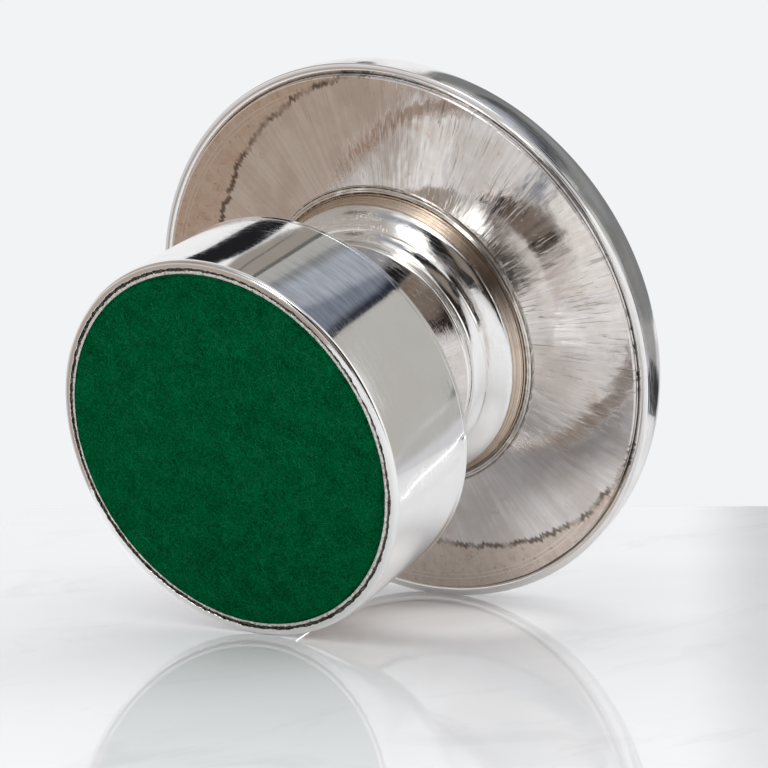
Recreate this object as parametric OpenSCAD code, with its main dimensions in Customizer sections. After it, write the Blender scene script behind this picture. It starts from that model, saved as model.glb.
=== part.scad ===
// Pedestal hand blotter: a felt-faced, weighted drum, a moulded neck and a wide, low-domed
// hand plate, drawn together by one central stud. Every piece is turned or raised about +Z.
// The origin is the centre of the felt's lower face, which is what the blotter stands on.
// Lengths are in millimetres.

/* [Weighted drum] */
// Outer radius of the drum
drum_r = 36; // [34:0.5:40]
// Height of the drum's top face above the felt's lower face
drum_h = 23.7; // [23.7:0.1:28]
// Thickness of the drum's side wall
drum_wall_t = 0.8; // [0.7:0.1:1.2]
// Width of the thickened foot at the wall's lower edge
drum_foot_w = 1.4; // [1.3:0.1:1.6]
// Thickness of the plate that closes the drum's top
drum_top_t = 1.2; // [0.9:0.1:1.5]
// Outer radius of the cast weight inside the drum
weight_r = 32; // [28:0.5:33]

/* [Felt and base plate] */
// Thickness of the felt pad
felt_t = 2; // [1.6:0.1:2.4]
// How far the felt stands below the drum's rim
felt_proud = 0.15; // [0.1:0.05:0.4]
// Thickness of the base plate and of the lip round the felt
base_t = 0.6; // [0.5:0.1:0.8]
// Width of the filler seam that shows between the lip and the rim
seam_w = 0.6; // [0.4:0.1:0.8]

/* [Neck] */
// Radius of the neck's cone where it stands on the drum
neck_foot_r = 33; // [32:0.1:34]
// Radius of the crease between the neck's cone and the wall above it
neck_crease_r = 21.6; // [21.4:0.1:22.2]
// Height of that crease above the drum
neck_crease_h = 11.9; // [11:0.1:13]
// Radius of the neck's upper edge
neck_top_r = 22.6; // [22.4:0.1:22.8]
// Length of the neck from the drum to its upper edge
neck_h = 22.3; // [20:0.1:26]
// Radius of the half-round bead
bead_r = 0.8; // [0.6:0.05:0.9]
// Radius of the flare's sharp outer edge
flare_r = 28; // [27.5:0.1:28.5]

/* [Hand plate] */
// Outer radius of the hand plate
plate_r = 54.9; // [53:0.1:60]
// Width of the shoulder, seen from above
shoulder_w = 4.5; // [4:0.25:7]
// Height of the shoulder above its lower edge
shoulder_h = 9.15; // [8:0.05:11]
// Squareness of the shoulder's curve; 2 is a plain ellipse
shoulder_power = 2.2; // [2:0.1:3]
// Rise of the dome over the whole plate
dome_rise = 1.75; // [1:0.25:3]
// Thickness of the raised top sheet
sheet_t = 1.2; // [1:0.1:1.4]
// How far the hammered underside falls from the collar to its edge
underside_fall = 1; // [0.5:0.1:1.5]
// Width of the rounded wire round the underside
rim_w = 2.1; // [1.8:0.1:2.4]

/* [Central stud] */
// Nominal diameter of the stud
stud_d = 8; // [6:1:8]
// Radial clearance round the stud in the pieces it passes through
stud_gap = 0.3; // [0.2:0.05:0.5]

/* [Hidden] */
$fn = 120;

// Gap between neighbouring round faces that are cemented or soldered
fit_gap = 0.05;

// Drum, from the outside in and from the floor up
rim_z = felt_proud;
drum_in_r = drum_r - drum_wall_t;
foot_in_r = drum_r - drum_foot_w;
seam_in_r = foot_in_r - seam_w;
felt_r = seam_in_r - base_t;
lip_z = felt_proud + 0.15;
seam_z = felt_proud + 0.45;
base_top_z = felt_t + base_t;
foot_top_z = base_top_z + 0.4;
drum_top_z = drum_h - drum_top_t;
edge_r = 0.8;
top_edge_r = 0.5;

// Stud and its hardware, each resting on the next
stud_r = stud_d / 2;
stud_hole_r = stud_r + stud_gap;
stud_z = base_top_z + 1.4;
nut_h = 6.5;
nut_across_flats = 13;
spring_washer_t = 2;
flat_washer_t = 1.6;
flat_washer_r = 12;
pocket_r = flat_washer_r + 1;
nut_z = stud_z + 1;
spring_washer_z = nut_z + nut_h;
flat_washer_z = spring_washer_z + spring_washer_t;
pocket_top_z = flat_washer_z + flat_washer_t;
weight_z = base_top_z + 2.4;
spacer_r = 7;

// Neck, bead and flare
neck_top_z = drum_h + neck_h;
neck_foot_h = 1;
neck_crease_z = drum_h + neck_crease_h;
neck_t = 1;
bead_h = 3 * bead_r;
bead_root_r = neck_top_r - 0.9;
flare_z = neck_top_z + bead_h;
flare_start_r = neck_top_r - 0.4;
flare_step_r = flare_start_r + 1.7;
flare_step_z = flare_z + 2.1;
flare_edge_z = flare_step_z + 2.9;
flare_lip_t = 0.25;
flare_land_r = flare_r - 2.4;
collar_z = flare_edge_z + 1.9;
collar_t = 0.8;
collar_r = flare_r + 1.4;
moulding_w = 1.6;

// Hand plate
underside_z = collar_z + collar_t;
underside_edge_z = underside_z - underside_fall;
underside_flat_r = collar_r + moulding_w + 0.1;
underside_r = plate_r - rim_w - fit_gap - 0.1;
rim_foot_z = underside_edge_z + 1.35;
rim_corner_z = underside_edge_z + 0.75;
shell_z = rim_foot_z - 0.05;
plate_top_z = shell_z + shoulder_h + dome_rise;
boss_z = underside_z + sheet_t;
boss_top_z = plate_top_z - sheet_t - 0.6;

// Points along an arc, from one angle to the other
function arc(centre, r, from, to, steps = 8) =
    [for (i = [0:steps]) let (a = from + (to - from) * i / steps)
        [centre[0] + r * cos(a), centre[1] + r * sin(a)]];

// Points along a curve that eases from one end into the other
function eased(start, end, power, steps = 8) =
    [for (i = [0:steps]) let (t = i / steps)
        [start[0] + (end[0] - start[0]) * (1 - pow(1 - t, power)), start[1] + (end[1] - start[1]) * t]];

// How much the dome adds to the hand plate's height at a radius
function dome(r) = dome_rise * (1 - pow(r / plate_r, 2));

// Outline of the hand plate's top from its rim to its centre, drawn in by t for the inner face
function plate_line(t, steps = 14) =
    [for (i = [0:steps + 10])
        let (
            a = min(90 * i / steps, 90),
            centre_r = plate_r - shoulder_w,
            r = i <= steps ? centre_r + (shoulder_w - t) * pow(max(cos(a), 0), 2 / shoulder_power)
                : centre_r * (1 - (i - steps) / 10))
        [r, shell_z + (shoulder_h - t) * pow(sin(a), 2 / shoulder_power) + dome(r) * sin(a)]];

// The same points, last one first
function backwards(points) = [for (i = [len(points) - 1:-1:0]) points[i]];

// The same points, each nearer the axis
function moved_in(points, by) = [for (p = points) [p[0] - by, p[1]]];

// A ring turned about Z from a closed half-section
module turned(section) {
    rotate_extrude() polygon(section);
}

// A plain tube or disc standing from z0 to z1
module ring(r_in, r_out, z0, z1) {
    turned([[r_in, z0], [r_out, z0], [r_out, z1], [r_in, z1]]);
}

// Round pad of pressed felt, glued into the base plate
module felt_pad() {
    color("darkgreen")
        cylinder(r = felt_r, h = felt_t);
}

// Thin dished plate that holds the felt inside a narrow turned lip
module base_plate() {
    color("lightgray")
        difference() {
            translate([0, 0, lip_z])
                cylinder(r = seam_in_r, h = base_top_z - lip_z);
            translate([0, 0, lip_z - 1])
                cylinder(r = felt_r + fit_gap, h = felt_t - lip_z + 1);
        }
}

// Dark setting pitch: a bed under the weight, a sleeve round it, and the seam that shows at the rim
module filler_pitch() {
    sleeve_r = drum_in_r - fit_gap;
    color("dimgray")
        turned([
            [pocket_r, base_top_z], [seam_in_r + fit_gap, base_top_z],
            [seam_in_r + fit_gap, seam_z], [foot_in_r - fit_gap, seam_z],
            [foot_in_r - fit_gap, foot_top_z + fit_gap], [sleeve_r, foot_top_z + fit_gap],
            [sleeve_r, drum_top_z], [weight_r + fit_gap, drum_top_z],
            [weight_r + fit_gap, weight_z], [pocket_r, weight_z]]);
}

// Side wall of the drum, with a thickened foot that is rounded where it meets the table
module drum_wall() {
    color("silver")
        turned(concat(
            [[drum_in_r, drum_top_z], [drum_in_r, foot_top_z], [foot_in_r, foot_top_z], [foot_in_r, rim_z]],
            arc([drum_r - edge_r, rim_z + edge_r], edge_r, -90, 0),
            [[drum_r, drum_top_z]]));
}

// Flat plate that closes the drum, with its edge eased flush with the wall
module drum_top_plate() {
    color("silver")
        turned(concat(
            [[stud_hole_r, drum_top_z], [drum_r, drum_top_z]],
            arc([drum_r - top_edge_r, drum_h - top_edge_r], top_edge_r, 0, 90, 4),
            [[stud_hole_r, drum_h]]));
}

// Cast iron weight, bored for the stud and counterbored for the nut and washers
module cast_weight() {
    color("darkslategray")
        difference() {
            translate([0, 0, weight_z])
                cylinder(r = weight_r, h = drum_top_z - weight_z);
            translate([0, 0, weight_z - 1])
                cylinder(r = pocket_r, h = pocket_top_z - weight_z + 1);
            cylinder(r = stud_hole_r, h = drum_h);
        }
}

// Neck shell: a short foot on the drum, a steep cone up to a crease, then a wall that spreads
// more and more towards its upper edge
module neck_shell() {
    foot_top_z = drum_h + neck_foot_h;
    wall = [for (i = [0:9]) let (t = i / 9)
        [neck_crease_r + (neck_top_r - neck_crease_r) * pow(t, 1.9),
            neck_crease_z + (neck_top_z - neck_crease_z) * t]];
    outer = concat([[neck_foot_r - 0.6, foot_top_z]], wall);
    inner = moved_in(outer, neck_t + 0.4);
    color("silver")
        turned(concat(
            [[neck_foot_r - 0.6 - neck_t, drum_h], [neck_foot_r, drum_h], [neck_foot_r, foot_top_z]],
            outer, backwards(inner)));
}

// Half-round bead between the neck and the flare, with a fine groove on each side
module neck_bead() {
    inner_r = bead_root_r - 1;
    middle_z = neck_top_z + bead_h / 2;
    color("silver")
        turned(concat(
            [[inner_r, neck_top_z], [bead_root_r, neck_top_z]],
            arc([bead_root_r, middle_z], bead_r, -90, 90),
            [[bead_root_r, flare_z], [inner_r, flare_z]]));
}

// Flare from the bead to a sharp edge, stepped once, with a flat land above for the collar
module neck_flare() {
    lower = [for (i = [0:4]) let (t = i / 4)
        [flare_start_r + (flare_step_r - flare_start_r) * t * t,
            flare_z + (flare_step_z - flare_z) * t]];
    upper = eased([flare_step_r + 0.3, flare_step_z + 0.1], [flare_r, flare_edge_z], 1.6);
    lip_z = flare_edge_z + flare_lip_t;
    color("silver")
        turned(concat(
            lower, upper,
            [[flare_r, lip_z], [flare_land_r, lip_z], [flare_land_r, lip_z - 0.8]],
            backwards(moved_in(lower, neck_t + 0.4))));
}

// Turned collar between the flare and the hand plate: a disc with a coned skirt standing on the flare
module turned_collar() {
    skirt_z = flare_edge_z + flare_lip_t;
    top_z = collar_z + collar_t;
    color("tan")
        turned([
            [spacer_r + stud_gap, collar_z], [flare_land_r + 0.2, collar_z],
            [flare_land_r + 0.2, skirt_z], [flare_r - 0.2, skirt_z], [flare_r + 0.3, skirt_z + 0.9],
            [collar_r, collar_z + 0.25], [collar_r, top_z], [spacer_r + stud_gap, top_z]]);
}

// Fine ring round the collar: a flat land between two grooves, then a narrow bead
module collar_moulding() {
    inner_r = collar_r + fit_gap;
    outer_r = collar_r + moulding_w;
    land_z = collar_z + 0.35;
    groove_z = collar_z + 0.6;
    color("silver")
        turned([
            [inner_r, groove_z], [inner_r + 0.2, groove_z], [inner_r + 0.3, land_z],
            [outer_r - 0.45, land_z], [outer_r - 0.35, groove_z], [outer_r - 0.25, groove_z],
            [outer_r - 0.15, land_z + 0.1], [outer_r, land_z + 0.2],
            [outer_r, collar_z + collar_t], [inner_r, collar_z + collar_t]]);
}

// Hammered sheet that closes the hand plate from below, falling slightly to its edge
module plate_underside() {
    ease = 0.1;
    color("gainsboro")
        turned([
            [stud_hole_r, underside_z], [underside_flat_r, underside_z],
            [underside_r - ease, underside_edge_z], [underside_r, underside_edge_z + ease],
            [underside_r, underside_edge_z + sheet_t],
            [underside_flat_r, underside_z + sheet_t], [stud_hole_r, underside_z + sheet_t]]);
}

// Rounded wire round the underside, soldered against the sheet and under the top shell
module plate_rim_wire() {
    wire_in_r = plate_r - rim_w;
    bow = 0.45;
    chord = [rim_w - 0.05, rim_corner_z - rim_foot_z];
    length = norm(chord);
    normal = [chord[1] / length, -chord[0] / length];
    face = [for (i = [0:10]) let (t = i / 10, out = bow * 4 * t * (1 - t))
        [wire_in_r + chord[0] * t + normal[0] * out, rim_foot_z + chord[1] * t + normal[1] * out]];
    top_z = rim_foot_z + 1.1;
    step_r = plate_r - sheet_t - fit_gap;
    color("silver")
        turned(concat(
            face,
            [[plate_r, rim_corner_z + 0.08], [plate_r, shell_z - 0.05], [step_r, shell_z - 0.05],
                [step_r, top_z], [wire_in_r - 1.3, top_z], [wire_in_r - 1.3, rim_foot_z + 0.15],
                [wire_in_r, rim_foot_z + 0.15]]));
}

// Raised top of the hand plate: steep rounded shoulder running into a low dome
module plate_top_shell() {
    color("silver")
        turned(concat(plate_line(0), backwards(plate_line(sheet_t))));
}

// Boss soldered on the underside sheet inside the plate; the stud screws into it
module plate_boss() {
    flange_r = 16;
    flange_t = 2;
    color("goldenrod")
        difference() {
            union() {
                translate([0, 0, boss_z])
                    cylinder(r = flange_r, h = flange_t);
                translate([0, 0, boss_z])
                    cylinder(r = stud_r + 5, h = boss_top_z - boss_z);
            }
            translate([0, 0, boss_z - 1])
                cylinder(r = stud_r + fit_gap, h = plate_top_z);
        }
}

// Steel stud that draws the drum, the neck and the hand plate together
module central_stud() {
    chamfer = 0.6;
    top_z = boss_top_z - 0.5;
    color("slategray")
        turned([
            [0, stud_z], [stud_r - chamfer, stud_z], [stud_r, stud_z + chamfer],
            [stud_r, top_z - chamfer], [stud_r - chamfer, top_z], [0, top_z]]);
}

// Steel tube round the stud, which takes the clamping load inside the hollow neck
module spacer_tube() {
    color("slategray")
        ring(stud_hole_r, spacer_r, drum_h, underside_z);
}

// Plain washer at the bottom of the weight's counterbore
module flat_washer() {
    color("slategray")
        ring(stud_hole_r, flat_washer_r, flat_washer_z, flat_washer_z + flat_washer_t);
}

// Split spring washer, closed flat under load
module spring_washer() {
    outer_r = stud_r + 3;
    split_w = 1;
    color("slategray")
        difference() {
            ring(stud_hole_r, outer_r, spring_washer_z, spring_washer_z + spring_washer_t);
            translate([0, -split_w / 2, spring_washer_z - 1])
                cube([outer_r + 1, split_w, spring_washer_t + 2]);
        }
}

// Hexagon nut that tightens the stud from below
module clamp_nut() {
    color("slategray")
        difference() {
            translate([0, 0, nut_z])
                cylinder(r = nut_across_flats / 2 / cos(30), h = nut_h, $fn = 6);
            translate([0, 0, nut_z - 1])
                cylinder(r = stud_r + fit_gap, h = nut_h + 2);
        }
}

felt_pad();
base_plate();
filler_pitch();
drum_wall();
drum_top_plate();
cast_weight();
neck_shell();
neck_bead();
neck_flare();
turned_collar();
collar_moulding();
plate_underside();
plate_rim_wire();
plate_top_shell();
plate_boss();
central_stud();
spacer_tube();
flat_washer();
spring_washer();
clamp_nut();
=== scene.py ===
import math

import bpy
import numpy as np
from mathutils import Matrix, Vector


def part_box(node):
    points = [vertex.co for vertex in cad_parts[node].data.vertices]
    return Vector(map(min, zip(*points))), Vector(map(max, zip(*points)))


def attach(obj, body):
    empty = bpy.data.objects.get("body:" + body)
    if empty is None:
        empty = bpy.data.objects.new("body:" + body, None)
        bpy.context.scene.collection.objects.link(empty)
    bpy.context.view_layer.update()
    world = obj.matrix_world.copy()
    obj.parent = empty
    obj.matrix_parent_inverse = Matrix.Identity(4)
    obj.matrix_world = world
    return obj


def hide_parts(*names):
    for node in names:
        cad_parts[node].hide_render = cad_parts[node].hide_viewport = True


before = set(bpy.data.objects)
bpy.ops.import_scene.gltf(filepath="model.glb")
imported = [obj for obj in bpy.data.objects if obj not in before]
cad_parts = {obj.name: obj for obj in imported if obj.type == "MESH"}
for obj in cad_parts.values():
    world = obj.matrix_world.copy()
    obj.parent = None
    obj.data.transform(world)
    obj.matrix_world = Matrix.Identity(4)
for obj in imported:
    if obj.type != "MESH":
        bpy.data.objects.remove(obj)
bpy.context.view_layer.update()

MM = 0.001
TAU = 2 * math.pi


def span(node):
    """Outer radius, lowest and highest point of a turned CAD node, in millimetres."""
    low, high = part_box(node)
    return high.x / MM, low.z / MM, high.z / MM


# ---------------------------------------------------------------- profiles


def arc(centre, radius, start, end, steps=12):
    """Points along an arc, angles in degrees."""
    return [
        (centre[0] + radius * math.cos(math.radians(a)), centre[1] + radius * math.sin(math.radians(a)))
        for a in np.linspace(start, end, steps + 1)
    ]


def eased(start, end, power, steps=40):
    """Points along a curve that eases from one end into the other."""
    return [
        (start[0] + (end[0] - start[0]) * (1 - (1 - t) ** power), start[1] + (end[1] - start[1]) * t)
        for t in np.linspace(0, 1, steps + 1)
    ]


def filleted(corners, steps=5):
    """A closed outline from (radius, height, rounding) corners, each rounded by that much."""
    out = []
    count = len(corners)
    for i, (r, z, rounding) in enumerate(corners):
        here = np.array((r, z), float)
        if rounding <= 0:
            out.append((r, z))
            continue
        before = np.array(corners[i - 1][:2], float) - here
        after = np.array(corners[(i + 1) % count][:2], float) - here
        la, lb = np.linalg.norm(before), np.linalg.norm(after)
        ua, ub = before / la, after / lb
        half = math.acos(max(-1, min(1, float(ua @ ub)))) / 2
        if half > math.radians(88):
            out.append((r, z))
            continue
        cut = min(rounding / math.tan(half), la * 0.45, lb * 0.45)
        size = cut * math.tan(half)
        centre = here + (ua + ub) / np.linalg.norm(ua + ub) * size / math.sin(half)
        a = here + ua * cut - centre
        b = here + ub * cut - centre
        start, end = math.atan2(a[1], a[0]), math.atan2(b[1], b[0])
        turn = (end - start + math.pi) % TAU - math.pi
        for t in np.linspace(0, 1, steps + 1):
            w = start + turn * t
            out.append((centre[0] + size * math.cos(w), centre[1] + size * math.sin(w)))
    return out


def supported(outline, closed=True, near=0.03, longest=1.2):
    """The same outline with points close to both ends of each long straight run."""
    out = []
    count = len(outline)
    for i, p in enumerate(outline):
        out.append(p)
        if i == count - 1 and not closed:
            break
        q = outline[(i + 1) % count]
        length = math.dist(p, q)
        if length > 6 * near:
            cuts = [near / length]
            pieces = max(1, int(length / longest))
            cuts += [k / pieces for k in range(1, pieces)]
            cuts.append(1 - near / length)
            out += [(p[0] + (q[0] - p[0]) * t, p[1] + (q[1] - p[1]) * t) for t in cuts]
    return out


# -------------------------------------------------------------------- noise


def eased_cells(at):
    """Splits positions into whole cells and a smooth step between them."""
    cell = np.floor(at).astype(int)
    t = at - cell
    return cell, t * t * (3 - 2 * t)


def ring_noise(angle, cells, seed):
    """Smooth random values between -1 and 1 that repeat once per turn."""
    values = np.random.default_rng(seed).uniform(-1, 1, cells)
    i, t = eased_cells(angle / TAU % 1 * cells)
    return values[i % cells] * (1 - t) + values[(i + 1) % cells] * t


def sheet_noise(angle, across, cells, rows, seed):
    """The same over a band: it repeats once per turn and changes as across runs from 0 to 1."""
    values = np.random.default_rng(seed).uniform(-1, 1, (rows + 2, cells))
    i, t = eased_cells(angle / TAU % 1 * cells)
    j, u = eased_cells(np.clip(across, 0, 1) * rows)
    first = values[j, i % cells] * (1 - t) + values[j, (i + 1) % cells] * t
    second = values[j + 1, i % cells] * (1 - t) + values[j + 1, (i + 1) % cells] * t
    return first * (1 - u) + second * u


def felt_face(angle, r, z):
    """Pressed, slightly lumpy lower face of the felt."""
    x, y = r * np.cos(angle), r * np.sin(angle)
    lumps = np.sin(3.1 * x + 1.3 * np.sin(2.3 * y)) * np.sin(2.7 * y + 1.7 * np.sin(1.9 * x))
    return r, z + np.where(z < 0.5, 0.02 * lumps, 0)


# ------------------------------------------------------------------- meshes


def mesh_object(name, points, faces):
    """A smooth mesh object; faces is an array of quads or triangles, and points are in millimetres."""
    mesh = bpy.data.meshes.new(name)
    points = np.asarray(points, float) * MM
    faces = np.asarray(faces, np.int32)
    corners = faces.shape[1]
    mesh.vertices.add(len(points))
    mesh.vertices.foreach_set("co", points.astype(np.float32).ravel())
    mesh.loops.add(faces.size)
    mesh.loops.foreach_set("vertex_index", faces.ravel())
    mesh.polygons.add(len(faces))
    mesh.polygons.foreach_set("loop_start", np.arange(0, faces.size, corners, dtype=np.int32))
    mesh.polygons.foreach_set("use_smooth", np.ones(len(faces), bool))
    mesh.update(calc_edges=True)
    mesh.validate()
    piece = bpy.data.objects.new(name, mesh)
    bpy.context.scene.collection.objects.link(piece)
    return piece


def lathe(name, outline, turns=512, shape=None):
    """A ring turned about Z from a closed outline that runs anticlockwise in (radius, height)."""
    outline = np.array(outline, float)
    area = np.sum(
        outline[:, 0] * np.roll(outline[:, 1], -1) - np.roll(outline[:, 0], -1) * outline[:, 1]
    )
    if area < 0:
        outline = outline[::-1]
    angle = np.linspace(0, TAU, turns, endpoint=False)[:, None]
    r = np.repeat(outline[None, :, 0], turns, 0)
    z = np.repeat(outline[None, :, 1], turns, 0)
    if shape is not None:
        r, z = shape(angle + 0 * r, r, z)
    points = np.stack([r * np.cos(angle), r * np.sin(angle), z], -1)
    index = np.arange(r.size).reshape(r.shape)
    nxt = np.roll(index, -1, 0)
    quads = np.stack([index, nxt, np.roll(nxt, -1, 1), np.roll(index, -1, 1)], -1)
    return mesh_object(name, points.reshape(-1, 3), quads.reshape(-1, 4))


def dress(piece, material, slot, *nodes):
    """Gives a piece its material, puts it on the body, and hides the nodes it stands for; the slot argument
    is not used.
    """
    piece.data.materials.clear()
    piece.data.materials.append(material)
    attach(piece, "root")
    if nodes:
        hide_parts(*nodes)
    return piece


# ---------------------------------------------------------------- materials


class Graph:
    """Short names for building one node tree; every value may be a number, a tuple or a socket."""

    def __init__(self, tree):
        self.tree = tree

    def put(self, value, socket):
        if isinstance(value, bpy.types.NodeSocket):
            self.tree.links.new(value, socket)
        else:
            socket.default_value = value

    def math(self, operation, a, b=0.0, clamp=False):
        node = self.tree.nodes.new("ShaderNodeMath")
        node.operation = operation
        node.use_clamp = clamp
        self.put(a, node.inputs[0])
        self.put(b, node.inputs[1])
        return node.outputs[0]

    def add(self, a, b):
        return self.math("ADD", a, b)

    def times(self, a, b):
        return self.math("MULTIPLY", a, b)

    def dot(self, a, b):
        node = self.tree.nodes.new("ShaderNodeVectorMath")
        node.operation = "DOT_PRODUCT"
        self.put(a, node.inputs[0])
        self.put(b, node.inputs[1])
        return node.outputs["Value"]

    def scaled(self, vector, factor):
        node = self.tree.nodes.new("ShaderNodeVectorMath")
        node.operation = "MULTIPLY"
        self.put(vector, node.inputs[0])
        self.put(factor, node.inputs[1])
        return node.outputs[0]

    def join(self, x, y, z):
        node = self.tree.nodes.new("ShaderNodeCombineXYZ")
        for value, socket in zip((x, y, z), node.inputs):
            self.put(value, socket)
        return node.outputs[0]

    def split(self, vector):
        node = self.tree.nodes.new("ShaderNodeSeparateXYZ")
        self.put(vector, node.inputs[0])
        return node.outputs

    def noise(self, vector, scale=1.0, detail=2.0, rough=0.5, bend=0.0):
        node = self.tree.nodes.new("ShaderNodeTexNoise")
        self.put(vector, node.inputs["Vector"])
        node.inputs["Scale"].default_value = scale
        node.inputs["Detail"].default_value = detail
        node.inputs["Roughness"].default_value = rough
        node.inputs["Distortion"].default_value = bend
        return node.outputs["Fac"]

    def span(self, value, low, high, to_low=0.0, to_high=1.0):
        """Maps low..high onto to_low..to_high with a smooth step, held at both ends."""
        node = self.tree.nodes.new("ShaderNodeMapRange")
        node.interpolation_type = "SMOOTHSTEP"
        for value_in, socket in zip((value, low, high, to_low, to_high), node.inputs):
            self.put(value_in, socket)
        return node.outputs[0]

    def mix(self, factor, a, b):
        node = self.tree.nodes.new("ShaderNodeMix")
        node.data_type = "RGBA"
        for value, socket in zip((factor, a, b), (node.inputs[0], node.inputs[6], node.inputs[7])):
            if isinstance(value, tuple) and len(value) == 3:
                value = (*value, 1)
            self.put(value, socket)
        return node.outputs[2]

    def bump(self, height, distance, strength=1.0):
        node = self.tree.nodes.new("ShaderNodeBump")
        node.inputs["Strength"].default_value = strength
        node.inputs["Distance"].default_value = distance
        self.put(height, node.inputs["Height"])
        return node.outputs[0]

    def place(self):
        """Object position in millimetres."""
        node = self.tree.nodes.new("ShaderNodeTexCoord")
        return self.scaled(node.outputs["Object"], (1 / MM, 1 / MM, 1 / MM))


class Turned(Graph):
    """Coordinates for a surface turned about Z: radius, height and a seamless direction."""

    def __init__(self, tree):
        super().__init__(tree)
        self.at = self.place()
        self.x, self.y, self.z = self.split(self.at)
        flat = self.math("SQRT", self.add(self.times(self.x, self.x), self.times(self.y, self.y)))
        self.r = self.math("MAXIMUM", flat, 0.001)
        self.cos = self.math("DIVIDE", self.x, self.r)
        self.sin = self.math("DIVIDE", self.y, self.r)

    def around(self, turn, along_r, along_z):
        """A vector whose first two parts go round the axis, for streaks along or across it."""
        return self.join(
            self.times(self.cos, turn), self.times(self.sin, turn),
            self.add(self.times(self.r, along_r), self.times(self.z, along_z)),
        )


def new_material(name):
    """A new material, the graph helper for its nodes, and its surface shader."""
    material = bpy.data.materials.new(name)
    material.use_nodes = True
    return material, Turned(material.node_tree), material.node_tree.nodes["Principled BSDF"]


def polished_silver(name, depth, haze=(0.93, 0.915, 0.895)):
    """Mirror silver: soft smudges, wiping marks round the axis, and a few stray scratches.

    The drum's wall has one patch of rubbing marks, darkened and tinted bluish-grey as a painted reflection,
    and the plate's top is dulled by handling."""
    material, g, shader = new_material(name)
    shader.inputs["Metallic"].default_value = 1
    smudge = g.noise(g.at, 0.16, 3)
    wiped = g.noise(g.around(7, 9, 9), 1, 4, 0.62)
    crossed = g.noise(g.around(160, 0.3, 0.3), 1, 3, 0.6, 0.4)
    worn = g.span(g.noise(g.around(1.6, 0.05, 0.05), 1, 2), 0.42, 0.66)
    fine = g.times(g.span(wiped, 0.5, 0.72), g.add(0.35, g.times(worn, 0.65)))
    stray = g.times(g.span(crossed, 0.62, 0.74), g.add(0.3, g.times(worn, 0.5)))
    marks = g.add(fine, stray)
    # painted reflection: one patch of the drum's wall whose rubbing streaks are darkened bluish-grey
    facing = g.add(g.times(g.cos, math.cos(RUB_REFLECTION_AT)), g.times(g.sin, math.sin(RUB_REFLECTION_AT)))
    rubbed_reflection_zone = g.span(facing, math.cos(RUB_REFLECTION_WIDE), math.cos(RUB_REFLECTION_WIDE * 0.5))
    rubbed_reflection_zone = g.times(rubbed_reflection_zone, g.span(g.r, RUB_REFLECTION_OUTSIDE - 1, RUB_REFLECTION_OUTSIDE))
    rubbed_reflection_zone = g.times(rubbed_reflection_zone, g.span(g.z, RUB_REFLECTION_BELOW + 1, RUB_REFLECTION_BELOW))
    broad = g.times(g.noise(g.around(5, 1.1, 1.1), 1, 2), 0.8)
    rubbed_reflection_streaks = g.add(g.noise(g.around(12, 6, 6), 1, 4, 0.7), broad)
    rubbed_reflection_streaks = g.times(g.span(rubbed_reflection_streaks, 0.7, 1.15), rubbed_reflection_zone)
    tint = g.mix(g.span(smudge, 0.35, 0.7), (0.955, 0.945, 0.93), haze)
    top = g.span(g.z, plate_top - HANDLED_DOWN, plate_top - HANDLED_DOWN + 0.8)
    handled = g.times(top, g.noise(g.at, 0.055, 5, 0.62, 0.6))
    tint = g.mix(g.span(handled, 0.42, 0.66, 0, 0.75), tint, (0.68, 0.6, 0.5))
    # painted reflection: the rubbing streaks on that patch are darkened towards a bluish grey
    tint = g.mix(g.times(rubbed_reflection_streaks, 0.55), tint, (0.42, 0.43, 0.455))
    g.put(g.mix(g.times(marks, 0.08), tint, (0.8, 0.78, 0.76)), shader.inputs["Base Color"])
    rough = g.add(g.span(smudge, 0.3, 0.75, 0.018, 0.05), g.times(marks, 0.11))
    g.put(rough, shader.inputs["Roughness"])
    g.put(g.bump(marks, depth, 1.0), shader.inputs["Normal"])
    return material


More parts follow.
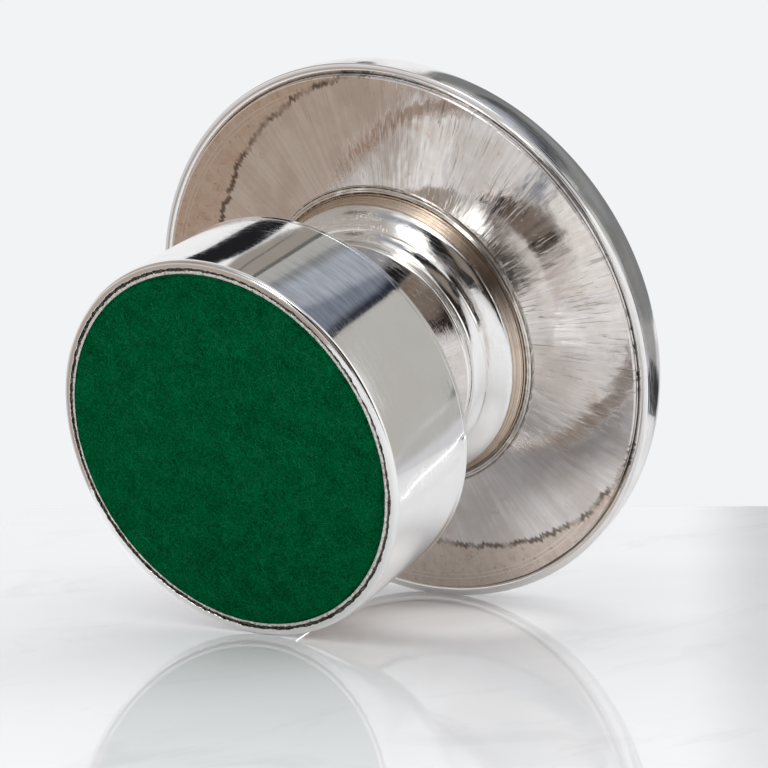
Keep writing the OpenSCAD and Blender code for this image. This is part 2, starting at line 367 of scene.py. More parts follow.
def hammered_silver():
    """Raw hammered silver: radial streaks, dull grey zones and a warm tarnish with a torn edge, along which a
    dark line is painted as a reflection.
    """
    material, g, shader = new_material("hammered_silver")
    shader.inputs["Metallic"].default_value = 1
    streak = g.noise(g.around(42, 0.035, 0), 1, 4, 0.6)
    hair = g.noise(g.around(150, 0.12, 0), 1, 3, 0.6)
    blotch = g.noise(g.at, 0.09, 4, 0.6)
    spots = g.noise(g.at, 0.55, 3, 0.65)
    # how far past the edge of the tarnish a place lies, and the dark line along that edge, a painted
    # reflection of a dark edge mirrored there
    jag = g.times(g.add(g.noise(g.around(60, 0.02, 0), 1, 2, 0.6), -0.5), 2.6)
    jag = g.add(jag, g.times(g.add(g.noise(g.around(9, 0.02, 0), 1, 1), -0.5), 1.6))
    off = g.add(g.y, TIDE_SHIFT)
    reach = g.math("SQRT", g.add(g.times(g.x, g.x), g.times(off, off)))
    tide = g.add(g.add(reach, -TIDE_R), jag)
    stained = g.span(tide, -0.6, 0.5)
    line = g.times(g.span(tide, -0.75, -0.1), g.span(tide, 0.2, 0.9, 1, 0))
    line = g.times(line, g.span(g.noise(g.at, 0.35, 2), 0.35, 0.6, 0.35, 1))
    # clean, tarnished and rusty colours
    clean = g.mix(g.span(streak, 0.35, 0.68), (0.83, 0.79, 0.765), (0.93, 0.91, 0.90))
    clean = g.mix(g.span(blotch, 0.42, 0.64, 0, 0.6), clean, (0.70, 0.63, 0.585))
    warm = g.mix(g.span(spots, 0.35, 0.7), (0.80, 0.70, 0.61), (0.72, 0.58, 0.48))
    colour = g.mix(g.times(stained, 0.85), clean, warm)
    colour = g.mix(g.span(g.noise(g.at, 0.22, 5, 0.7), 0.6, 0.72, 0, 0.5), colour, (0.66, 0.44, 0.34))
    rust = g.noise(g.at, 0.75, 4, 0.7)
    colour = g.mix(g.times(g.times(stained, g.span(rust, 0.56, 0.68)), 0.6), colour, (0.55, 0.33, 0.24))
    # scribed rings, the dark line of painted reflection, short radial grooves and hairlines
    ring = g.math(
        "MAXIMUM", g.span(g.math("ABSOLUTE", g.add(g.r, -SCRIBED[0])), 0.05, 0.13, 1, 0),
        g.span(g.math("ABSOLUTE", g.add(g.r, -SCRIBED[1])), 0.04, 0.11, 1, 0),
    )
    ring = g.times(g.times(ring, stained), g.span(spots, 0.4, 0.55, 0.3, 1))
    colour = g.mix(g.times(ring, 0.7), colour, (0.97, 0.93, 0.88))
    # painted reflection: a dark jagged line along the tarnish's edge
    colour = g.mix(g.times(line, 0.85), colour, (0.12, 0.085, 0.06))
    groove = g.span(g.noise(g.around(80, 0.11, 0), 1, 3, 0.6, 0.5), 0.57, 0.64)
    groove = g.times(groove, g.span(g.noise(g.around(7, 0.14, 0), 1, 2), 0.42, 0.6))
    groove = g.times(groove, g.span(g.sin, -0.45, -0.85))
    colour = g.mix(g.span(hair, 0.6, 0.72, 0, 0.35), colour, (0.42, 0.36, 0.32))
    colour = g.mix(g.times(groove, 0.6), colour, (0.40, 0.36, 0.33))
    g.put(colour, shader.inputs["Base Color"])
    rough = g.add(g.span(streak, 0.3, 0.7, 0.03, 0.075), g.times(stained, 0.1))
    g.put(g.add(rough, g.span(blotch, 0.4, 0.7, 0, 0.03)), shader.inputs["Roughness"])
    relief = g.add(g.times(streak, 1.0), g.add(g.times(hair, 0.35), g.times(spots, 0.3)))
    relief = g.add(relief, g.times(groove, -0.8))
    g.put(g.bump(relief, 0.000018, 1.0), shader.inputs["Normal"])
    return material


def turned_silver():
    """Unpolished turned silver: concentric tool lines in a warm, oxidised grey."""
    material, g, shader = new_material("turned_silver")
    shader.inputs["Metallic"].default_value = 1
    lines = g.noise(g.around(0.6, 7, 7), 1, 3, 0.7)
    patch = g.noise(g.at, 0.2, 3)
    colour = g.mix(g.span(lines, 0.38, 0.62), (0.42, 0.32, 0.24), (0.80, 0.69, 0.58))
    g.put(g.mix(g.span(patch, 0.4, 0.7, 0, 0.4), colour, (0.45, 0.33, 0.24)), shader.inputs["Base Color"])
    g.put(g.span(patch, 0.3, 0.7, 0.16, 0.3), shader.inputs["Roughness"])
    g.put(g.bump(lines, 0.00003, 1.0), shader.inputs["Normal"])
    return material


def soiled_silver():
    """Polished silver whose fine grooves hold old polish and dirt."""
    material, g, shader = new_material("soiled_silver")
    shader.inputs["Metallic"].default_value = 1
    dirt = g.noise(g.around(20, 2, 2), 1, 3, 0.6)
    dark = 0.0
    for centre, half in SOILED_RINGS:
        off = g.math("ABSOLUTE", g.add(g.r, -centre))
        dark = g.math("MAXIMUM", dark, g.span(off, half * 0.6, half, 1, 0))
    dark = g.times(dark, g.span(dirt, 0.3, 0.6, 0.45, 1))
    tint = g.mix(g.span(dirt, 0.35, 0.65), (0.93, 0.91, 0.88), (0.80, 0.745, 0.69))
    g.put(g.mix(g.times(dark, 0.9), tint, (0.10, 0.075, 0.055)), shader.inputs["Base Color"])
    g.put(g.add(g.span(dirt, 0.3, 0.7, 0.04, 0.1), g.times(dark, 0.3)), shader.inputs["Roughness"])
    g.put(g.bump(dirt, 0.000006, 1.0), shader.inputs["Normal"])
    return material


def torn_lip():
    """Dull cut edge of the base plate, scratched across."""
    material, g, shader = new_material("white_metal")
    shader.inputs["Metallic"].default_value = 0.75
    cuts = g.noise(g.around(70, 2.2, 1), 1, 3, 0.65)
    grime = g.noise(g.at, 1.3, 3, 0.65)
    colour = g.mix(g.span(cuts, 0.35, 0.65), (0.62, 0.585, 0.54), (0.93, 0.905, 0.87))
    g.put(g.mix(g.span(grime, 0.56, 0.7, 0, 0.75), colour, (0.22, 0.175, 0.135)), shader.inputs["Base Color"])
    g.put(g.span(cuts, 0.3, 0.7, 0.6, 0.35), shader.inputs["Roughness"])
    g.put(g.bump(cuts, 0.00006, 1.0), shader.inputs["Normal"])
    return material


def setting_pitch():
    """Dark brittle pitch with paler dust in it."""
    material, g, shader = new_material("pitch")
    grains = g.noise(g.at, 2.6, 4, 0.7)
    colour = g.mix(g.span(grains, 0.48, 0.66), (0.026, 0.017, 0.012), (0.26, 0.215, 0.17))
    g.put(colour, shader.inputs["Base Color"])
    g.put(g.span(grains, 0.3, 0.7, 0.9, 0.6), shader.inputs["Roughness"])
    g.put(g.bump(grains, 0.00012, 1.0), shader.inputs["Normal"])
    return material


def wool(name, dark, light, contrast):
    """Pressed wool: mottled green with a fine tangled grain."""
    material, g, shader = new_material(name)
    clouds = g.noise(g.at, 0.18, 4, 0.6)
    tangle = g.noise(g.at, 1.1, 5, 0.75, 1.6)
    grain = g.noise(g.at, 3.2, 3, 0.7, 0.8)
    tone = g.add(g.times(clouds, 0.16), g.add(g.times(tangle, 0.4), g.times(grain, 0.44)))
    g.put(g.mix(g.span(tone, 0.5 - contrast, 0.5 + contrast), dark, light), shader.inputs["Base Color"])
    shader.inputs["Roughness"].default_value = 1
    shader.inputs["Specular IOR Level"].default_value = 0.0
    g.put(g.bump(g.add(tangle, g.times(grain, 0.6)), 0.00025, 0.8), shader.inputs["Normal"])
    return material


def inner_metal(name, dark, light, metallic, rough, grain_scale):
    """Plain machined or cast metal for the parts inside."""
    material, g, shader = new_material(name)
    shader.inputs["Metallic"].default_value = metallic
    rings = g.noise(g.around(0.8, 4, 4), 1, 3, 0.6)
    grain = g.noise(g.at, grain_scale, 4, 0.65)
    tone = g.add(g.times(rings, 0.5), g.times(grain, 0.5))
    g.put(g.mix(g.span(tone, 0.38, 0.62), dark, light), shader.inputs["Base Color"])
    g.put(g.span(grain, 0.3, 0.7, rough, rough + 0.2), shader.inputs["Roughness"])
    g.put(g.bump(tone, 0.00004, 1.0), shader.inputs["Normal"])
    return material


# the tarnish on the underside ends along a circle that is not centred on the axis
TIDE_R = 48
TIDE_SHIFT = 10

# radii of the two fine rings scribed near the rim of the underside
SCRIBED = (50.9, 50.1)

# dark rings in the collar's moulding: (radius, half width)
SOILED_RINGS = [(29.55, 0.13), (30.12, 0.07), (30.7, 0.12), (30.95, 0.06)]

# where the drum's wall has rubbing marks darkened bluish-grey as a painted reflection: the azimuth of the
# patch, its half width, and the radius and height that keep it on the wall
RUB_REFLECTION_AT = math.radians(-113)
RUB_REFLECTION_WIDE = math.radians(15)
RUB_REFLECTION_OUTSIDE = 34
RUB_REFLECTION_BELOW = 24

# how far down from its highest point the plate's top is dulled by hands
HANDLED_DOWN = 3.2

plate_r, shell_low, plate_top = span("plate_top_shell")

silver = polished_silver("polished_silver", 0.0000022)
scratched = polished_silver("scratched_silver", 0.000009)
handled_silver = polished_silver("handled_silver", 0.000006, (0.86, 0.83, 0.79))
soiled = soiled_silver()
hammered = hammered_silver()
turned = turned_silver()
lip_metal = torn_lip()
pitch = setting_pitch()
felt = wool("felt", (0.0, 0.028, 0.010), (0.0, 0.118, 0.036), 0.11)
fibre = wool("felt_fibre", (0.0, 0.075, 0.025), (0.02, 0.235, 0.105), 0.14)
iron = inner_metal("cast_iron", (0.035, 0.034, 0.033), (0.11, 0.105, 0.1), 0.6, 0.6, 1.6)
brass = inner_metal("brass", (0.55, 0.38, 0.14), (0.78, 0.58, 0.27), 1, 0.22, 0.8)
steel = inner_metal("steel", (0.38, 0.38, 0.38), (0.6, 0.6, 0.59), 1, 0.26, 1.2)

# ------------------------------------------------------------------- pieces

# sheet and wire sizes that the pieces' outer boxes do not give
DRUM_WALL = 0.8
DRUM_FOOT = 1.4
DRUM_EDGE = 0.8
TOP_EDGE = 0.5
FOOT_OVER_BASE = 0.4
GAP = 0.05
STUD_HOLE = 4.3
SPACER_HOLE = 7.3
WASHER_ROOM = 1
NECK_STEP = 0.6
NECK_WALL = 1.4
CREASE_R = 21.6
CREASE_UP = 11.9
NECK_SPREAD = 1.9
NECK_TOP_R = 22.6
BEAD = 0.8
BEAD_DEPTH = 1
FLARE_START_R = 22.2
FLARE_STEP = 1.7
FLARE_STEP_H = 2.1
FLARE_LIP = 0.25
FLARE_LAND = 2.4
FLARE_LIP_DEEP = 0.8
COLLAR_T = 0.8
SHEET = 1.2
WIRE = 2.1
WIRE_BOW = 0.45
WIRE_DROP = 0.6
WIRE_LEDGE = 1.3
WIRE_LEDGE_UP = 0.15
SHOULDER_W = 4.5
SHOULDER_POWER = 2.2
DOME_RISE = 1.75

drum_r, drum_low, drum_wall_top = span("drum_wall")
_, _, drum_top = span("drum_top_plate")
lip_r, lip_low, base_top = span("base_plate")
felt_r, felt_low, felt_top = span("felt_pad")
_, seam_low, _ = span("filler_pitch")
neck_r, neck_low, neck_top = span("neck_shell")
bead_r, bead_low, bead_top = span("neck_bead")
flare_r, flare_low, flare_top = span("neck_flare")
collar_r, _, collar_top = span("turned_collar")
mould_r, mould_low, mould_top = span("collar_moulding")
sheet_r, sheet_low, _ = span("plate_underside")
wire_r, _, wire_top = span("plate_rim_wire")
weight_r, weight_low, _ = span("cast_weight")
pocket_r = span("flat_washer")[0] + WASHER_ROOM
drum_in_r = drum_r - DRUM_WALL
foot_in_r = drum_r - DRUM_FOOT
foot_top = base_top + FOOT_OVER_BASE


def hand_made(amount, seed):
    """Slow unevenness of a hand-raised wall: the radius changes a little round and along it."""
    def shape(angle, r, z):
        low, high = z.min(), z.max()
        across = (z - low) / max(high - low, 1e-6)
        wave = sheet_noise(angle, across, 9, 2, seed) + 0.35 * sheet_noise(angle, across, 23, 4, seed + 1)
        return r + amount * wave, z
    return shape


# drum: heights over which its wall turns in a little towards its foot and its top
FOOT_TURN_IN = 5
TOP_TURN_IN = 4


def drum_shape(angle, r, z):
    """Uneven drum wall whose foot has a ragged inner edge."""
    r, z = hand_made(0.03, 11)(angle, r, z)
    near_foot = np.clip((FOOT_TURN_IN - z) / FOOT_TURN_IN, 0, 1)
    near_top = np.clip((z - drum_wall_top + TOP_TURN_IN) / TOP_TURN_IN, 0, 1)
    r = r - np.where(r > drum_in_r + 0.3, 0.07 * near_foot ** 2 + 0.05 * near_top ** 2, 0)
    inner = (np.abs(r - foot_in_r) < 0.15) & (z < foot_top - 0.5)
    rag = 0.08 * ring_noise(angle, 260, 12) + 0.06 * ring_noise(angle, 90, 13)
    rag = rag + 0.07 * ring_noise(angle, 610, 14)
    return r + np.where(inner, rag - 0.03, 0), z


dress(
    lathe(
        "drum_wall_polished",
        supported(
            [(drum_in_r, drum_wall_top), (drum_in_r, foot_top), (foot_in_r, foot_top),
             (foot_in_r, drum_low + 0.06), (foot_in_r + 0.06, drum_low)]
            + arc((drum_r - DRUM_EDGE, drum_low + DRUM_EDGE), DRUM_EDGE, -90, 0, 24)
            + [(drum_r, drum_wall_top)]
        ),
        turns=1200, shape=drum_shape,
    ),
    silver, "polished_silver", "drum_wall",
)
dress(
    lathe(
        "drum_top_polished",
        supported(
            [(STUD_HOLE, drum_wall_top), (drum_r, drum_wall_top)]
            + arc((drum_r - TOP_EDGE, drum_top - TOP_EDGE), TOP_EDGE, 0, 90, 16)
            + [(STUD_HOLE, drum_top)]
        ),
        turns=720,
    ),
    silver, "polished_silver", "drum_top_plate",
)


def rough_rim(edge_r, seed):
    """Shape for a turned lip whose lower face is scratched and whose outer edge is torn."""
    def shape(angle, r, z):
        low = z.min()
        face = z < low + 0.3
        torn = 0.03 + 0.1 * ring_noise(angle, 240, seed) + 0.09 * ring_noise(angle, 620, seed + 1)
        r = r + np.where(face & (np.abs(r - edge_r) < 0.12), torn, 0)
        scratches = 0.03 * ring_noise(angle, 320, seed + 2) + 0.02 * ring_noise(angle, 900, seed + 3)
        return r, z + np.where(face, scratches, 0)
    return shape


dress(
    lathe(
        "felt_lip_and_base",
        supported(
            [(felt_r + GAP, felt_top), (felt_r + GAP, lip_low + 0.04), (felt_r + GAP + 0.05, lip_low),
             ((felt_r + lip_r) / 2, lip_low - 0.02), (lip_r - 0.08, lip_low), (lip_r, lip_low + 0.08),
             (lip_r, base_top), (0.01, base_top), (0.01, felt_top)]
        ),
        turns=1800, shape=rough_rim(lip_r, 21),
    ),
    lip_metal, "white_metal", "base_plate",
)


def crumbled(angle, r, z):
    """Broken surface of the pitch where it shows in the seam."""
    seam = z < seam_low + 0.2
    lumps = (
        0.1 * ring_noise(angle, 420, 31) + 0.08 * ring_noise(angle, 900, 32)
        + 0.1 * ring_noise(angle, 130, 33)
    )
    across = np.clip((r - lip_r) / (foot_in_r - lip_r), 0, 1)
    cross = 0.08 * sheet_noise(angle, across, 700, 3, 34)
    return r, z + np.where(seam, lumps + cross, 0)


dress(
    lathe(
        "pitch_bed",
        supported(
            [(pocket_r, base_top), (lip_r + GAP, base_top), (lip_r + GAP, seam_low)]
            + [(r, seam_low) for r in np.linspace(lip_r + GAP, foot_in_r - GAP, 8)[1:-1]]
            + [(foot_in_r - GAP, seam_low), (foot_in_r - GAP, foot_top + GAP),
               (drum_in_r - GAP, foot_top + GAP), (drum_in_r - GAP, drum_wall_top),
               (weight_r + GAP, drum_wall_top), (weight_r + GAP, weight_low), (pocket_r, weight_low)]
        ),
        turns=1800, shape=crumbled,
    ),
    pitch, "pitch", "filler_pitch",
)

# neck, bead and flare
crease = (CREASE_R, neck_low + CREASE_UP)
foot_cone = [
    (neck_r - NECK_STEP + (crease[0] - neck_r + NECK_STEP) * t, neck_low + 1 + (CREASE_UP - 1) * t)
    for t in np.linspace(0, 1, 41)[:-1]
]
spread = [
    (crease[0] + (NECK_TOP_R - crease[0]) * t ** NECK_SPREAD, crease[1] + (neck_top - crease[1]) * t)
    for t in np.linspace(0, 1, 41)
]
outer = foot_cone + spread
dress(
    lathe(
        "neck_polished",
        supported(
            [(neck_r - NECK_STEP - 1, neck_low), (neck_r - 0.1, neck_low), (neck_r, neck_low + 0.1),
             (neck_r, neck_low + 0.85), (neck_r - 0.15, neck_low + 1)]
            + outer
            + [(r - NECK_WALL, z) for r, z in reversed(outer)]
        ),
        turns=720, shape=hand_made(0.006, 41),
    ),
    scratched, "polished_silver", "neck_shell",
)
bead_root = bead_r - BEAD
bead_mid = (bead_low + bead_top) / 2
dress(
    lathe(
        "neck_bead_polished",
        supported(
            [(bead_root - BEAD_DEPTH, bead_low), (bead_root, bead_low)]
            + arc((bead_root, bead_mid), BEAD, -90, 90, 24)
            + [(bead_root, bead_top), (bead_root - BEAD_DEPTH, bead_top)]
        ),
        turns=720,
    ),
    scratched, "polished_silver", "neck_bead",
)
step_r = FLARE_START_R + FLARE_STEP
step_z = flare_low + FLARE_STEP_H
edge_z = flare_top - FLARE_LIP
lower = [
    (FLARE_START_R + FLARE_STEP * t * t, flare_low + FLARE_STEP_H * t) for t in np.linspace(0, 1, 25)
]
upper = eased((step_r + 0.3, step_z + 0.1), (flare_r, edge_z), 1.6, 48)
dress(
    lathe(
        "neck_flare_polished",
        supported(
            lower + upper
            + [(flare_r, flare_top), (flare_r - FLARE_LAND, flare_top),
               (flare_r - FLARE_LAND, flare_top - FLARE_LIP_DEEP)]
            + [(r - NECK_WALL, z) for r, z in reversed(lower)]
        ),
        turns=720, shape=hand_made(0.01, 43),
    ),
    scratched, "polished_silver", "neck_flare",
)

# collar and moulding
collar_low = collar_top - COLLAR_T


def turning_lines(depth, seed):
    """Shape for concentric tool marks: each ring of points stands a little in or out."""
    def shape(angle, r, z):
        cut = np.random.default_rng(seed).normal(0, depth, r.shape[1])
        return r + cut[None, :], z + cut[None, :]
    return shape


collar_step_r = flare_r - FLARE_LAND + 0.2
skirt = [
    (flare_r - 0.2 + (collar_r - flare_r + 0.2) * t, flare_top + (collar_low + 0.25 - flare_top) * t ** 0.95)
    for t in np.linspace(0, 1, 22)
]
dress(
    lathe(
        "turned_collar_face",
        supported(
            [(SPACER_HOLE, collar_low), (collar_step_r, collar_low), (collar_step_r, flare_top)]
            + skirt
            + [(collar_r, collar_top), (SPACER_HOLE, collar_top)]
        ),
        turns=720, shape=turning_lines(0.02, 51),
    ),
    turned, "turned_silver", "turned_collar",
)
groove_z = collar_low + 0.6
dress(
    lathe(
        "collar_moulding_steps",
        supported(
            filleted([
                (collar_r + GAP, groove_z, 0), (collar_r + 0.25, groove_z, 0.04),
                (collar_r + 0.35, mould_low, 0.06), (mould_r - 0.45, mould_low, 0.06),
                (mould_r - 0.35, groove_z, 0.03), (mould_r - 0.25, groove_z, 0.03),
                (mould_r - 0.15, mould_low + 0.1, 0.06), (mould_r, mould_low + 0.2, 0.08),
                (mould_r, mould_top, 0), (collar_r + GAP, mould_top, 0),
            ])
        ),
        turns=720,
    ),
    soiled, "polished_silver", "collar_moulding",
)

# hammered underside
flat_r = mould_r + 0.1
flat_z = collar_top


def hammered_face(angle, r, z):
    """Radial planishing marks pressed into the lower face of the sheet."""
    across = np.clip((r - flat_r) / (sheet_r - flat_r), 0, 1)
    lower_face = z < flat_z - (flat_z - sheet_low) * across + 0.3
    marks = (
        0.03 * sheet_noise(angle, across, 26, 2, 61)
        + 0.014 * sheet_noise(angle + 0.02 * across, across, 110, 3, 62)
        + 0.012 * sheet_noise(angle + 0.01 * across, across, 250, 5, 63)
        + 0.006 * sheet_noise(angle, across, 480, 12, 64)
    )
    fade = np.clip((r - flat_r) / 1.5, 0, 1)
    return r, z + np.where(lower_face, marks * fade, 0)


face = [
    (r, flat_z - (flat_z - sheet_low) * (r - flat_r) / (sheet_r - flat_r))
    for r in np.linspace(flat_r, sheet_r - 0.1, 96)
]
dress(
    lathe(
        "underside_hammered",
        supported([(STUD_HOLE, flat_z)])
        + supported([(flat_r - 1, flat_z)], closed=False)
        + face
        + [(sheet_r, sheet_low + 0.1), (sheet_r, sheet_low + 0.6), (sheet_r, sheet_low + SHEET),
           (flat_r, flat_z + SHEET), (STUD_HOLE, flat_z + SHEET)],
        turns=1440, shape=hammered_face,
    ),
    hammered, "hammered_silver", "plate_underside",
)

# rim wire
wire_in = wire_r - WIRE
wire_foot_z = shell_low + GAP
corner = (wire_r - GAP, wire_foot_z - WIRE_DROP)
chord = np.array(corner) - np.array((wire_in, wire_foot_z))
normal = np.array((chord[1], -chord[0])) / np.linalg.norm(chord)
wire_face = [
    tuple(np.array((wire_in, wire_foot_z)) + chord * t + normal * WIRE_BOW * 4 * t * (1 - t))
    for t in np.linspace(0, 1, 33)
]
step_in = plate_r - SHEET - GAP
dress(
    lathe(
        "rim_wire_polished",
        supported(
            wire_face
            + [(wire_r, corner[1] + 0.08), (wire_r, shell_low - 0.02),
               (step_in, shell_low - 0.02), (step_in, wire_top),
               (wire_in - WIRE_LEDGE, wire_top), (wire_in - WIRE_LEDGE, wire_foot_z + WIRE_LEDGE_UP),
               (wire_in, wire_foot_z + WIRE_LEDGE_UP)]
        ),
        turns=1200,
    ),
    silver, "polished_silver", "plate_rim_wire",
)

# plate top
shoulder_h = plate_top - shell_low - DOME_RISE


def dome(r):
    """How much the dome adds to the plate's height at a radius."""
    return DOME_RISE * (1 - (r / plate_r) ** 2)


def plate_line(inset, steps):
    """Outline of the plate's top from its rim to its centre."""
    centre_r = plate_r - SHOULDER_W
    out = []
    for a in np.linspace(0, math.pi / 2, steps + 1):
        r = centre_r + (SHOULDER_W - inset) * max(math.cos(a), 0) ** (2 / SHOULDER_POWER)
        rise = max(math.sin(a), 0)
        out.append((r, shell_low + (shoulder_h - inset) * rise ** (2 / SHOULDER_POWER) + dome(r) * rise))
    for r in np.linspace(centre_r, 0.01, 60)[1:]:
        out.append((r, shell_low + shoulder_h - inset + dome(r)))
    return out


dress(
    lathe(
        "plate_top_polished",
        supported(plate_line(0, 64) + plate_line(SHEET, 32)[::-1]),
        turns=1200, shape=hand_made(0.012, 71),
    ),
    handled_silver, "polished_silver", "plate_top_shell",
)

# felt
felt_piece = dress(
    lathe(
        "felt_disc",
        [(r, felt_low) for r in np.linspace(0.01, felt_r - 0.2, 150)]
        + arc((felt_r - 0.2, felt_low + 0.2), 0.2, -90, 0, 5)
        + [(felt_r, felt_top), (0.01, felt_top)],
        turns=900, shape=felt_face,
    ),
    felt, "felt", "felt_pad",
)

# loose fibres on the felt
FIBRES = 9000
FIBRE_SIDES = 3
FIBRE_STEPS = 5


def fibres(name, count, seed):
    """Short curled fibres pressed flat on the felt's lower face, as thin three-sided tubes."""
    rng = np.random.default_rng(seed)
    where = np.sqrt(rng.uniform(0, 1, count)) * (felt_r - 0.35)
    turn = rng.uniform(0, TAU, count)
    start = np.stack([where * np.cos(turn), where * np.sin(turn)], -1)
    heading = rng.uniform(0, TAU, count)
    curl = rng.normal(0, 0.55, count)
    length = rng.uniform(0.8, 3.2, count)
    thick = rng.uniform(0.012, 0.04, count)
    high = rng.uniform(-0.035, 0.01, count)
    t = np.linspace(0, 1, FIBRE_STEPS + 1)
    bearing = heading[:, None] + curl[:, None] * t[None, :] * 2
    step = length[:, None] / FIBRE_STEPS
    x = start[:, :1] + np.cumsum(np.cos(bearing) * step, 1)
    y = start[:, 1:] + np.cumsum(np.sin(bearing) * step, 1)
    out = np.hypot(x, y)
    held = np.minimum(1, (felt_r - 0.1) / np.maximum(out, 1e-6))
    x, y = x * held, y * held
    z = high[:, None] + 0.03 * np.sin(math.pi * t)[None, :] * rng.uniform(-1, 1, count)[:, None]
    spine = np.stack([x, y, np.broadcast_to(z, x.shape)], -1)
    across = np.stack([-np.sin(bearing), np.cos(bearing), 0 * bearing], -1)
    taper = (1 - 0.6 * np.abs(2 * t - 1) ** 3)[None, :, None] * thick[:, None, None]
    sides = []
    for k in range(FIBRE_SIDES):
        a = TAU * k / FIBRE_SIDES
        sides.append(spine + (across * math.cos(a) + np.array((0, 0, 1)) * math.sin(a)) * taper)
    points = np.stack(sides, 2)
    index = np.arange(points.shape[0] * points.shape[1] * FIBRE_SIDES).reshape(points.shape[:3])
    nxt = np.roll(index, -1, 2)
    quads = np.stack([index[:, :-1], nxt[:, :-1], nxt[:, 1:], index[:, 1:]], -1).reshape(-1, 4)
    return mesh_object(name, points.reshape(-1, 3), quads)


dress(fibres("felt_fibres", FIBRES, 91), fibre, "felt")

# parts inside, as the CAD has them
for node, material in {
    "cast_weight": iron, "plate_boss": brass, "central_stud": steel, "spacer_tube": steel,
    "flat_washer": steel, "spring_washer": steel, "clamp_nut": steel,
}.items():
    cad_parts[node].data.materials.clear()
    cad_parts[node].data.materials.append(material)

# -------------------------------------------------------------------- stage

# the blotter lies on its side: the drum's rounded foot and the plate's rim both touch the table
foot_centre = np.array((drum_r - DRUM_EDGE, drum_low + DRUM_EDGE))
plate_corner = np.array((plate_r, shell_low))
across = plate_corner - foot_centre
reach = np.linalg.norm(across)
lean_angle = math.acos(DRUM_EDGE / reach) - math.atan2(across[1], across[0])
ROLL = math.radians(29.05)  # azimuth of the side the blotter lies on
level = math.cos(lean_angle)
down = Vector((level * math.cos(ROLL), level * math.sin(ROLL), -math.sin(lean_angle)))
contact = Vector((plate_r * math.cos(ROLL), plate_r * math.sin(ROLL), shell_low)) * MM
up = -down

# camera: it faces the felt and the plate's underside, and stands upright over the table
cam_data = bpy.data.cameras.new("camera")
camera = bpy.data.objects.new("camera", cam_data)
bpy.context.scene.collection.objects.link(camera)
bpy.context.scene.camera = camera
cam_data.sensor_width = 36
cam_data.lens = 115.62
cam_data.clip_start = 0.01
cam_data.clip_end = 20
CAMERA_AT = Vector((0, -0.307287, -0.30765))
forward = Vector((0.013195, 0.655668, 0.754934)).normalized()
cam_up = Vector((-0.827735, -0.416402, 0.376117))
right = forward.cross(cam_up).normalized()
cam_up = right.cross(forward)
camera.matrix_world = Matrix.Translation(CAMERA_AT) @ Matrix(
    ((right.x, cam_up.x, -forward.x), (right.y, cam_up.y, -forward.y), (right.z, cam_up.z, -forward.z))
).to_4x4()

# table axes, away from the camera and to its right, and how far the table reaches along them
away = (forward - up * forward.dot(up)).normalized()
side = away.cross(up)
FLOOR_BACK = 0.145
FLOOR_FRONT = -1.2
FLOOR_LEFT = 0.105
FLOOR_RIGHT = 0.15
corners = [
    contact + away * FLOOR_FRONT - side * FLOOR_LEFT,
    contact + away * FLOOR_FRONT + side * FLOOR_RIGHT,
    contact + away * FLOOR_BACK + side * FLOOR_RIGHT,
    contact + away * FLOOR_BACK - side * FLOOR_LEFT,
]
floor = mesh_object("floor", [c / MM for c in corners], [[0, 1, 2, 3]])

# a thin raised white strip on the table, to the right of the view, that glows as a painted light; the drum's
# side mirrors it
STRIP_FROM = (0.066, -0.029)
STRIP_TO = (0.30, 0.117)
STRIP_WIDE = 0.002
STRIP_HIGH = 0.0006


def table_point(beside, behind, high=0.0):
    """A point from its distances beside, behind and above the blotter's plate contact."""
    return contact + side * beside + away * behind + up * high


def table_strip():
    """Low white bar along a straight line on the table; it glows white as a painted light."""
    ends = np.array((STRIP_FROM, STRIP_TO))
    run = (ends[1] - ends[0]) / np.linalg.norm(ends[1] - ends[0])
    across = np.array((-run[1], run[0])) * STRIP_WIDE / 2
    points = []
    for end in ends:
        for sign, high in ((-1, 0.0), (-1, STRIP_HIGH), (1, STRIP_HIGH), (1, 0.0)):
            points.append(table_point(*(end + sign * across), high) / MM)
    faces = [[0, 1, 5, 4], [1, 2, 6, 5], [2, 3, 7, 6], [0, 3, 2, 1], [4, 5, 6, 7]]
    piece = mesh_object("table_strip", points, faces)
    material, g, shader = new_material("strip_white")
    g.put(g.mix(g.noise(g.at, 0.4, 3), (0.9, 0.9, 0.9), (0.97, 0.97, 0.97)), shader.inputs["Base Color"])
    shader.inputs["Roughness"].default_value = 0.4
    # painted light: the strip glows though it is no lamp
    shader.inputs["Emission Color"].default_value = (1, 1, 1, 1)
    shader.inputs["Emission Strength"].default_value = 0.8
    piece.data.materials.append(material)


table_strip()

# middle of the patch of table painted with a glow (the table emits light there), between the drum and the
# plate, in millimetres
GLOW_AT = (49.5, 4.0, 30.0)
# distances over which that painted glow fades, and how strong it is at its middle
GLOW_NEAR = 8
GLOW_FAR = 25
GLOW_MOST = 0.22


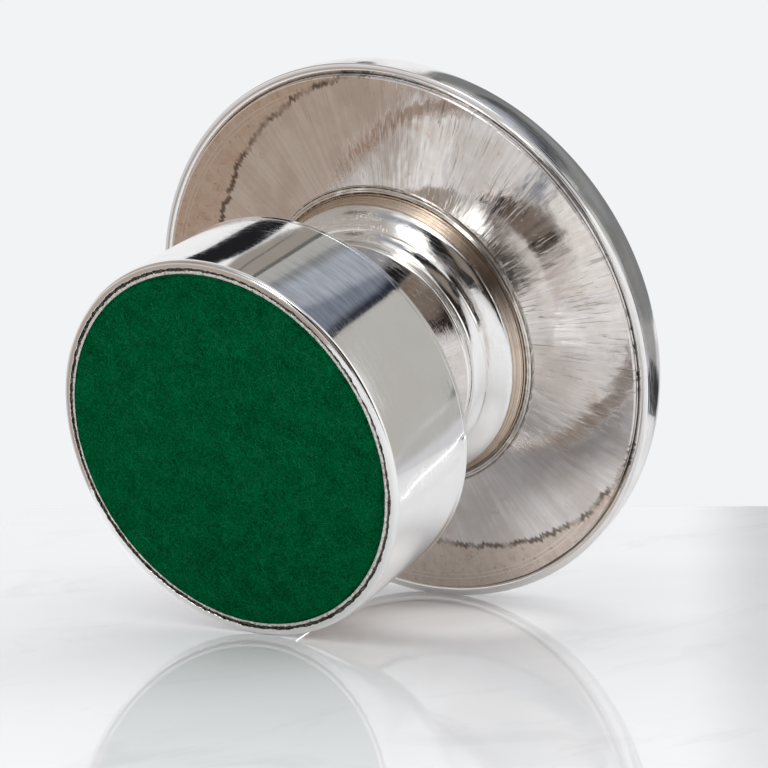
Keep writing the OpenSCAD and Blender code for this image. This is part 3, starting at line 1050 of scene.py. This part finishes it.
def table_top():
    """Glossy white table: faint clouding, a few smears and a painted glow near the blotter."""
    material, g, shader = new_material("table")
    cloud = g.noise(g.at, 0.006, 4, 0.6)
    smear = g.noise(g.scaled(g.at, (0.02, 0.055, 0.02)), 1, 4, 0.65, 1.0)
    colour = g.mix(g.span(cloud, 0.35, 0.65), (0.83, 0.835, 0.855), (0.77, 0.78, 0.80))
    colour = g.mix(g.span(smear, 0.52, 0.7, 0, 0.5), colour, (0.70, 0.705, 0.72))
    g.put(colour, shader.inputs["Base Color"])
    g.put(g.span(smear, 0.35, 0.7, 0.015, 0.06), shader.inputs["Roughness"])
    shader.inputs["IOR"].default_value = 1.2
    # painted glow: the table emits a soft light between the drum and the plate, which the plate's underside
    # mirrors
    far = 0.0
    for place, middle in zip((g.x, g.y, g.z), GLOW_AT):
        off = g.add(place, -middle)
        far = g.add(far, g.times(off, off))
    shader.inputs["Emission Color"].default_value = (1.0, 0.975, 0.96, 1)
    glow = g.span(g.math("SQRT", far), GLOW_NEAR, GLOW_FAR, GLOW_MOST, 0)
    g.put(glow, shader.inputs["Emission Strength"])
    return material


floor.data.materials.append(table_top())

scene = bpy.context.scene
scene.view_settings.view_transform = "Standard"
world = bpy.data.worlds.new("studio")
scene.world = world
world.use_nodes = True

# the studio round the blotter: (from azimuth, to azimuth, from height, to height, colour, edge), in
# degrees; azimuth is measured from straight behind the blotter, growing to the right
ROOM = [
    (-180, 180, -90, 90, (0.88, 0.885, 0.895), 1),
    (-180, 180, 60, 90, (0.52, 0.52, 0.52), 6),
    (-60, 130, 64, 90, (0.72, 0.72, 0.73), 5),
    (-180, 180, -90, -1, (0.60, 0.60, 0.63), 1),
    (-116, -90, -42, -20, (0.42, 0.35, 0.30), 3),
    (8, 71, 1, 53, (0.205, 0.21, 0.215), 1.2),
    (24, 58, 37, 49.5, (0.088, 0.09, 0.094), 1.5),
    (51, 60, 43, 49.2, (0.03, 0.031, 0.035), 0.8),
    (20, 60, 24, 34, (0.27, 0.275, 0.28), 4),
    (48, 62, 8, 18, (0.24, 0.235, 0.23), 4),
    (40, 66, -5, 2, (0.33, 0.33, 0.33), 1.5),
    (66, 71, -8, 2, (0.45, 0.45, 0.44), 1.5),
    (27, 59, -15, -5, (0.04, 0.042, 0.048), 1.0),
    (71, 82, -5, 46, (0.47, 0.46, 0.44), 1.0),
    (82, 118, -12, 62, (0.86, 0.85, 0.845), 2),
    (112, 134, -5, 60, (1.25, 1.24, 1.23), 3),
    (-4, 12, 47, 60, (0.30, 0.275, 0.25), 1.2),
    (13, 31, 50, 64, (0.41, 0.41, 0.4), 1.5),
    (10.5, 13.5, 48, 62, (0.13, 0.13, 0.12), 0.6),
    (1.5, 2.6, 50, 62, (0.17, 0.16, 0.15), 0.5),
    (25, 40, 51, 66, (0.27, 0.28, 0.29), 2.5),
    (33, 60, 49, 66, (0.39, 0.42, 0.48), 4.5),
    (58, 84, 46, 62, (0.20, 0.225, 0.28), 3.5),
    (59, 84, 42, 49.2, (0.026, 0.03, 0.042), 1.6),
    (66, 82, 36, 46, (0.47, 0.46, 0.44), 0.5),
    (-16, -3, 31.5, 47, (0.014, 0.014, 0.016), 0.8),
    (-128, -60, 4, 60, (0.40, 0.365, 0.335), 6),
    (-112, -97, 24, 34, (0.16, 0.14, 0.11), 3),
    (-150, -118, 22, 38, (0.30, 0.315, 0.35), 4),
    (-180, -146.5, -12, 36, (0.012, 0.012, 0.014), 2),
    (-160, -157.5, -12, 6, (0.10, 0.07, 0.045), 1.0),
    (134, 180, -12, 42, (0.02, 0.016, 0.014), 3),
    (-180, -164.5, 5, 31, (0.24, 0.2, 0.172), 2),
    (168, 180, 3, 32, (0.2, 0.168, 0.145), 2),
    (-144, -132, 8, 19, (6.5, 6.5, 6.4), 1.5),
    (-178, -150, 40, 70, (3.2, 3.2, 3.2), 3),
]
# what reaches the matt surfaces: an even, soft light from all sides, strongest from above
SOFT_LOW = 0.75
SOFT_HIGH = 1.2
BACKDROP = (0.887, 0.896, 0.913, 1)


def studio(tree):
    """Soft panels of the studio by direction; the camera itself sees a plain pale backdrop."""
    g = Graph(tree)
    looking = tree.nodes.new("ShaderNodeTexCoord").outputs["Generated"]
    ahead, beside, above = (g.dot(looking, tuple(axis)) for axis in (away, side, up))
    azimuth = g.times(g.math("ARCTAN2", beside, ahead), 180 / math.pi)
    height = g.times(g.math("ARCSINE", above), 180 / math.pi)
    colour = ROOM[0][4]
    for left, right, low, high, tone, edge in ROOM[1:]:
        sideways = g.times(
            g.span(azimuth, left - edge, left + edge), g.span(azimuth, right - edge, right + edge, 1, 0)
        )
        upright = g.times(
            g.span(height, low - edge, low + edge), g.span(height, high - edge, high + edge, 1, 0)
        )
        colour = g.mix(g.times(sideways, upright), colour, tone)
    path = tree.nodes.new("ShaderNodeLightPath").outputs
    soft = g.span(above, -1, 1, SOFT_LOW, SOFT_HIGH)
    colour = g.mix(path["Is Diffuse Ray"], colour, g.join(soft, soft, soft))
    g.put(g.mix(path["Is Camera Ray"], colour, BACKDROP), tree.nodes["Background"].inputs["Color"])


studio(world.node_tree)
